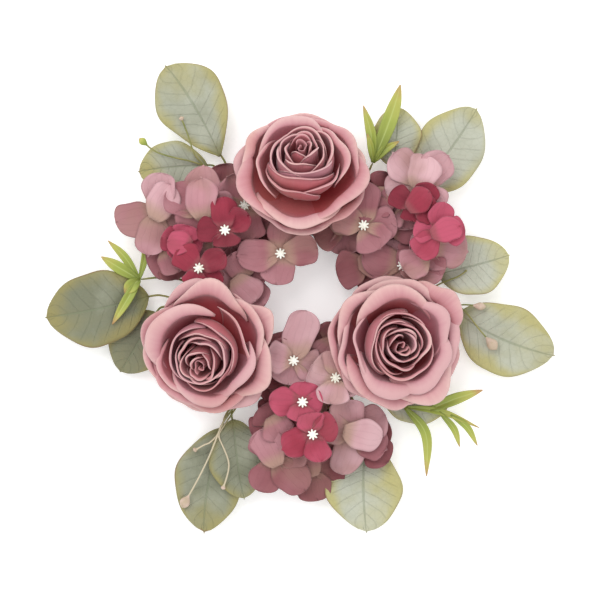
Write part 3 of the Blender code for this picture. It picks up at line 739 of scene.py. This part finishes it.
def swirl(name):
    """Table rows of the petals that wind toward the heart of a rose."""
    rows = []
    for i in range(SWIRL_PETALS):
        share = i / (SWIRL_PETALS - 1)
        rim = SWIRL_RIM[0] + (SWIRL_RIM[1] - SWIRL_RIM[0]) * share
        height = SWIRL_HEIGHT[0] + (SWIRL_HEIGHT[1] - SWIRL_HEIGHT[0]) * share**0.7
        turn = SWIRL_START[name] + i * SWIRL_STEP + rng.uniform(-16, 16)
        half = rng.uniform(68, 86)
        close = rng.uniform(3.6, 5.6) * (1 - 0.7 * share)
        layer = "inner" if rim > INNER_REACH else "bud"
        shift = [share * way for way in SWIRL_SHIFT[name]]
        rows.append((layer, turn, half, rim, height, close, rng.uniform(0.4, 0.9), 0, shift))
    return rows


def rose(name, petals):
    """One rose head, a piece for each of its CAD layers."""
    top, axes = rose_axes(name)
    petals = [*petals, *swirl(name)]
    layers = {"outer": "outer_petals", "middle": "middle_petals", "inner": "inner_petals"}
    for layer in ("outer", "middle", "inner", "bud"):
        node = layers.get(layer, "bud")
        cloth = Cloth()
        for kind, *petal in petals:
            if kind == layer:
                shape = rose_petal(top, axes[node], TUCKS[layer], *petal)
                cloth.add(*shape, rng.uniform(0, 1))
        if layer == "bud":
            points, across, along = rose_heart(top, axes["bud"], HEART_START[name])
            points = points + np.array((*SWIRL_SHIFT[name], 0.0)) * MM
            cloth.add(points, across, along, 0.5)
        cad = f"rose_{name}_{node}"
        cloth.build(f"{cad}_fabric", "rose", body_of[cad], (cad,), ROSE_FABRIC)


# Hydrangea


def floret_layout(node):
    """(centre, [(turn, length) of each petal]) of a CAD floret."""
    points = points_of(node)
    centre = round_of(points, CAD_FLORET_HOLE)
    level = points[:, 2].mean()
    spokes = points[:, :2] - centre
    reach = np.linalg.norm(spokes, axis=1)
    turn = np.degrees(np.arctan2(spokes[:, 1], spokes[:, 0])) % 360
    outside = reach > 1.5 * CAD_FLORET_HOLE
    far = {}
    for t, r in zip(turn[outside], reach[outside]):
        key = next((k for k in far if min(abs(k - t), 360 - abs(k - t)) < 2.5), t)
        far[key] = max(far.get(key, 0), r)
    edge = sorted(far.items())
    radii = np.array([radius for _, radius in edge])
    spans = np.roll(radii, 1) - 2 * radii + np.roll(radii, -1)
    first = int(np.argmax(spans))
    petals = [edge[(first + 2 + 4 * k) % len(edge)] for k in range(4)]
    assert len(edge) == 16, node
    return np.array((*centre, level)), petals


def floret_petal(centre, turn, length, width, level, sag=SAG, begin=1.2):
    """(points, across, along) of one hydrangea petal."""
    across = np.linspace(-1, 1, FLORET_COLUMNS)[None, :]
    along = (1 - (1 - np.linspace(0, 1, FLORET_ROWS)) ** 1.5)[:, None]
    widest = rng.uniform(0.5, 0.64)
    claw = 0.34
    grow = np.clip(along / widest, 0, 1) ** 0.85
    close = np.clip((along - widest) / (1 - widest), 0, 1)
    half = width * (claw + (1 - claw) * grow * (2 - grow) ** 0.8)
    half = half * np.clip(1 - close ** rng.uniform(1.8, 3.4), 0, 1) ** 0.5
    phases = rng.uniform(0, 2 * math.pi, 6)
    half = half * (1 + 0.07 * np.sin(along * 9 + phases[0] + across * 2))
    half = np.maximum(half, 0.02)
    notch = 1 - rng.uniform(-0.07, 0.1) * np.exp(-((across / 0.3) ** 2)) * along**6
    x = begin + (length - begin) * along * notch
    y = across * half + length * 0.08 * math.sin(phases[1]) * along**2
    lift = rng.uniform(-3.4, 2.8)
    bow = rng.uniform(-2.4, 1.4)
    cup = rng.uniform(-0.2, 0.34)
    twist = rng.uniform(-0.36, 0.36)
    crease = rng.uniform(-0.2, 0.55) ** 3 * 5
    corner = rng.uniform(-1.6, 2.2)
    z = lift * along**2 + bow * np.sin(math.pi * along) + cup * half * across**2
    z = z + twist * half * across * along + crease * half * (np.abs(across) - 0.4) * along
    z = z + 0.9 * np.sin(across * 3.2 + phases[2]) * along**2
    z = z + corner * (across * math.copysign(1, twist) * 0.6 + 0.4) ** 2 * along**5
    z = z + 0.5 * np.sin(across * 6 + phases[3]) * np.sin(along * 7 + phases[4]) * along
    z = z - 0.4 * np.exp(-((across / 0.14) ** 2)) * np.sin(math.pi * np.clip(along * 1.1, 0, 1))
    z = np.where(z < 0, z * sag, z)
    angle = math.radians(turn)
    ahead = np.array((math.cos(angle), math.sin(angle), 0.0))
    left = np.array((-math.sin(angle), math.cos(angle), 0.0))
    points = ahead * x[..., None] + left * y[..., None] + UP * (z + level)[..., None]
    return centre + points * MM, across, along


def ball(cloth, centre, axis, length, radius, sides=8, rows=6):
    """A small smooth lobe about an axis, gathered into a cloth."""
    side = unit(np.cross(axis, UP + 0.01))
    around = np.linspace(0, 2 * math.pi, sides + 1)[None, :]
    down = np.linspace(0, math.pi, rows)[:, None]
    up = np.cos(down) * length * np.ones_like(around)
    points = around_axis(axis, (side, np.cross(axis, side)), around, np.sin(down) * radius, up)
    cloth.add(centre + points * MM, around / math.pi - 1, down / math.pi)


def stamens(cloth, centre):
    """A star of blunt white points round a low dome."""
    start = rng.uniform(0, 60)
    top = centre + UP * CAP_LEVEL
    ball(cloth, top, UP, 1.3, 2.15, 12, 7)
    for i in range(CAP_POINTS):
        angle = math.radians(start + 360 / CAP_POINTS * i)
        ahead = unit(np.array((math.cos(angle), math.sin(angle), 0.35)))
        ball(cloth, top + ahead * CAP_REACH, ahead, 1.25, 0.62)


def floret(cloth, centre, petals, slot, hood=None, moods=MOODS, sag=SAG):
    """Four petals (turn, length) round a centre, and one folded over it if it has a hood."""
    mood = rng.uniform(*moods)
    for i, (turn, length) in enumerate(petals):
        width = FLORET_WIDTH[slot] * rng.uniform(0.9, 1.1)
        petal = floret_petal(centre, turn, length, width, PETAL_LEVEL * (-1) ** i, sag)
        cloth.add(*petal, np.clip(mood + rng.uniform(-0.3, 0.3), -0.4, 1))
    if hood is not None:
        length = max(length for _, length in petals) * HOOD_LENGTH
        width = FLORET_WIDTH[slot] * HOOD_WIDTH
        points, across, along = floret_petal(
            centre, hood, length, width, HOOD_LEVEL, sag, HOOD_START
        )
        points[..., 2] += HOOD_BULGE * np.sin(math.pi * along)
        cloth.add(points, across, along, np.clip(mood + 0.2, 0, 1))


def hydrangea():
    """The three clusters: the CAD florets, the lower florets and the stamen caps."""
    caps = Cloth()
    for node, slot in slots.items():
        if slot not in FLORET_WIDTH:
            continue
        centre, petals = floret_layout(node)
        cloth = Cloth()
        petals = [(turn, length / MM) for turn, length in petals]
        floret(cloth, centre, petals, slot, HOODS.get(node), sag=SAGS.get(node, SAG))
        cloth.build(f"{node}_fabric", slot, body_of[node], (node,), FLORET_FABRIC)
        if node not in HOODS:
            stamens(caps, centre)
    lower = Cloth()
    for x, y, z, turn, length in FILLERS:
        centre = np.array((x, y, z)) * MM
        petals = [
            (turn + 90 * k + rng.uniform(-14, 14), length * rng.uniform(0.85, 1.15))
            for k in range(4)
        ]
        # the lower florets take darker moods: painted shade in the depth of the clusters
        floret(lower, centre, petals, "dusty", turn + rng.uniform(0, 360), SHADED_LOWER_MOODS)
    lower.build("lower_florets", "dusty", "crown", (), FLORET_FABRIC)
    caps.build("stamen_caps", "stamen", "crown")


# Sprays


def leaf(node):
    """One leaf with a folded midrib, gentle waves and a short point."""
    widest, fullness, greyness, aside = LEAVES[node]
    hinge = joint_of[body_of[node]]
    points = points_of(node)
    apart = np.linalg.norm(points[:, None, :2] - points[None, :, :2], axis=-1)
    ends = [points[i] for i in np.unravel_index(apart.argmax(), apart.shape)]
    ends.sort(key=lambda end: np.linalg.norm(end - hinge))
    start, end = [points[np.linalg.norm(points - e, axis=1) < 2.2 * MM].mean(axis=0) for e in ends]
    level = end - start
    level[2] = 0
    length = np.linalg.norm(level)
    ahead = level / length
    left = np.cross(UP, ahead)
    near = np.abs((points - start) @ left) < 0.8 * MM
    spine = points[near]
    rise = np.polyfit((spine - start) @ ahead / length, spine[:, 2], 3)
    half_width = np.abs((points - start) @ left).max()
    across = np.linspace(-1, 1, LEAF_COLUMNS)[None, :]
    along = np.linspace(0, 1, LEAF_ROWS)[:, None]
    power = math.log(0.5) / math.log(widest)
    outline = np.sin(math.pi * np.clip(along, 0, 1) ** power) ** fullness
    outline = np.maximum(outline, 0.035 * (1 - along))
    phases = rng.uniform(0, 2 * math.pi, 4)
    edge = half_width * outline * (1 + 0.035 * np.sin(along * 13 + phases[0] + across))
    x = along * length * (1 + 0.02 * np.exp(-((across / 0.25) ** 2)) * along**8)
    y = across * edge + length * 0.02 * np.sin(math.pi * along + phases[1])
    y = y + aside * MM * np.sin(math.pi * along) ** 0.8
    z = np.polyval(rise, along)
    fold = 0.16 * np.abs(across) ** 1.3 * edge
    ripple = np.abs(across) ** 2 * np.sin(along * 12 + phases[2] * np.sign(across)) * 1.1 * MM
    droop = -1.2 * MM * across**4 * outline
    vein = -0.25 * MM * np.exp(-((across / 0.06) ** 2))
    z = z + fold + ripple * outline + droop + vein
    grid = start * (1, 1, 0) + ahead * x[..., None] + left * y[..., None] + UP * z[..., None]
    cloth = Cloth()
    cloth.add(grid, across, along, greyness)
    cloth.build(f"{node}_fabric", "leaf", body_of[node], (node,), LEAF_FABRIC)


def smooth_path(points, count):
    """So many points at even steps along a smooth curve through these."""
    points = np.array(points, dtype=float)
    ends = np.concatenate((2 * points[:1] - points[1:2], points, 2 * points[-1:] - points[-2:-1]))
    path = []
    for place in np.linspace(0, len(points) - 1, count):
        i = min(int(place), len(points) - 2)
        t = place - i
        a, b, c, d = ends[i : i + 4]
        bend = 2 * a - 5 * b + 4 * c - d
        twist = 3 * b - a - 3 * c + d
        path.append((2 * b + (c - a) * t + bend * t**2 + twist * t**3) / 2)
    return np.array(path)


def sprig(body, blades):
    """The narrow lime leaves of one spray."""
    origin = joint_of[body]
    out, round_about = hinge_sides[body]
    cloth = Cloth()
    for width, points in blades:
        path = smooth_path(points, BLADE_ROWS)
        path = origin + (path[:, :1] * out + path[:, 1:2] * round_about + path[:, 2:] * UP) * MM
        along = np.linspace(0, 1, BLADE_ROWS)[:, None]
        across = np.linspace(-1, 1, BLADE_COLUMNS)[None, :]
        ahead = np.gradient(path, axis=0)
        ahead /= np.linalg.norm(ahead, axis=1)[:, None]
        left = np.cross(UP, ahead)
        left /= np.linalg.norm(left, axis=1)[:, None]
        above = np.cross(ahead, left)
        half = width / 2 * np.maximum(np.sin(math.pi * (0.07 + 0.92 * along)) ** 0.85, 0.06)
        lift = half * (np.abs(across) * 0.45 + 0.1 * np.sin(along * 7))
        grid = path[:, None] + left[:, None] * (across * half)[..., None] * MM
        grid = grid + above[:, None] * lift[..., None] * MM
        cloth.add(grid, across, along, rng.uniform(0, 1))
    node = f"{body}_sprig"
    cloth.build(f"{node}_blades", "lime", body, (node,), BLADE_PLASTIC)


def bud(cloth, before, tip, length, radius):
    """A pear-shaped bud that swells toward the end of a tendril."""
    ahead = unit(tip - before)
    side = unit(np.cross(UP, ahead))
    around = np.linspace(0, 2 * math.pi, 13)[None, :]
    place = np.linspace(0, 1, 14)[:, None]
    swell = np.sin(math.pi * place**1.5) ** 0.9 * (1 + 0.06 * np.sin(around * 3)) * radius
    swell = np.maximum(swell, 0.3 * (1 - place))
    up = (place - 0.75) * length
    points = around_axis(ahead, (side, np.cross(ahead, side)), around, swell, up)
    cloth.add(tip + points * MM, around / math.pi - 1, place * np.ones_like(around))


def tendril_buds(body, buds):
    """The buds of one spray."""
    origin = joint_of[body]
    out, round_about = hinge_sides[body]
    cloths = {}
    for before, tip, length, radius, material in buds:
        ends = [origin + (x * out + y * round_about + z * UP) * MM for x, y, z in (before, tip)]
        bud(cloths.setdefault(material, Cloth()), *ends, length, radius)
    for material, cloth in cloths.items():
        cloth.build(f"{body}_{material}_buds", material, body)


def smoothed(node, levels):
    """Rounds a faceted CAD solid."""
    piece = nodes[node]
    weld = piece.modifiers.new("Weld", "WELD")
    weld.merge_threshold = 0.00001
    piece.modifiers.new("Round", "SUBSURF").levels = levels
    piece.modifiers["Round"].render_levels = levels


joint_of = {}
hinge_sides = {}
for joint in record["behaviour"]["joints"]:
    axis = np.array(joint["axis"])
    joint_of[joint["child"]] = np.array(joint["pos_m"])
    hinge_sides[joint["child"]] = (np.cross(UP, axis), np.cross(UP, np.cross(UP, axis)))

for name, petals in ROSES.items():
    rose(name, petals)
hydrangea()
for node in LEAVES:
    leaf(node)
for body, blades in SPRIGS.items():
    sprig(body, blades)
for body, buds in BUDS.items():
    tendril_buds(body, buds)
cream_stem = plastic_material(
    "cream_stem_plastic", *STEM_COLOURS, STEM_ROUGHNESS, cream_from=joint_of["spray_front_left"]
)
for node, slot in slots.items():
    if slot in ("stem", "ring"):
        piece = nodes[node]
        piece.data.materials.clear()
        cream = body_of[node] == "spray_front_left"
        piece.data.materials.append(cream_stem if cream else MATERIALS[slot])
        if slot == "stem":
            smoothed(node, 2)


# Floor, light and camera

floor_mesh = bpy.data.meshes.new("floor")
corners = [(x * FLOOR_REACH, y * FLOOR_REACH, 0) for x, y in ((-1, -1), (1, -1), (1, 1), (-1, 1))]
floor_mesh.from_pydata(corners, [], [(0, 1, 2, 3)])
floor = bpy.data.objects.new("floor", floor_mesh)
floor.location.z = FLOOR_LEVEL
bpy.context.scene.collection.objects.link(floor)
material, tree, shader = new_material("floor_paper", 0.9)
shader.inputs["Base Color"].default_value = linear(0.97, 0.97, 0.97)
shader.inputs["Emission Color"].default_value = (1, 1, 1, 1)
shader.inputs["Emission Strength"].default_value = FLOOR_GLOW
floor_mesh.materials.append(material)

world = bpy.data.worlds.new("studio")
world.use_nodes = True
sky = world.node_tree.nodes["Background"]
sky.inputs["Color"].default_value = (1, 1, 1, 1)
sky.inputs["Strength"].default_value = SKY
bpy.context.scene.world = world
bpy.context.scene.view_settings.view_transform = "Standard"


def lamp(name, place, size, power):
    """A soft square light that faces the crown."""
    data = bpy.data.lights.new(name, "AREA")
    data.size = size
    data.energy = power
    light = bpy.data.objects.new(name, data)
    light.location = place
    light.rotation_euler = (-Vector(place)).to_track_quat("-Z", "Y").to_euler()
    bpy.context.scene.collection.objects.link(light)


lamp("key", (-0.5, 0.7, 1.3), 0.9, 8)
lamp("fill", (0.7, -0.4, 1.2), 1.0, 3)

camera_data = bpy.data.cameras.new("camera")
camera_data.sensor_width = SENSOR
camera_data.lens = SENSOR * CAMERA_HEIGHT / VIEW_WIDTH
camera = bpy.data.objects.new("camera", camera_data)
camera.location = (0, 0, CAMERA_HEIGHT + FLOWER_LEVEL)
bpy.context.scene.collection.objects.link(camera)
bpy.context.scene.camera = camera
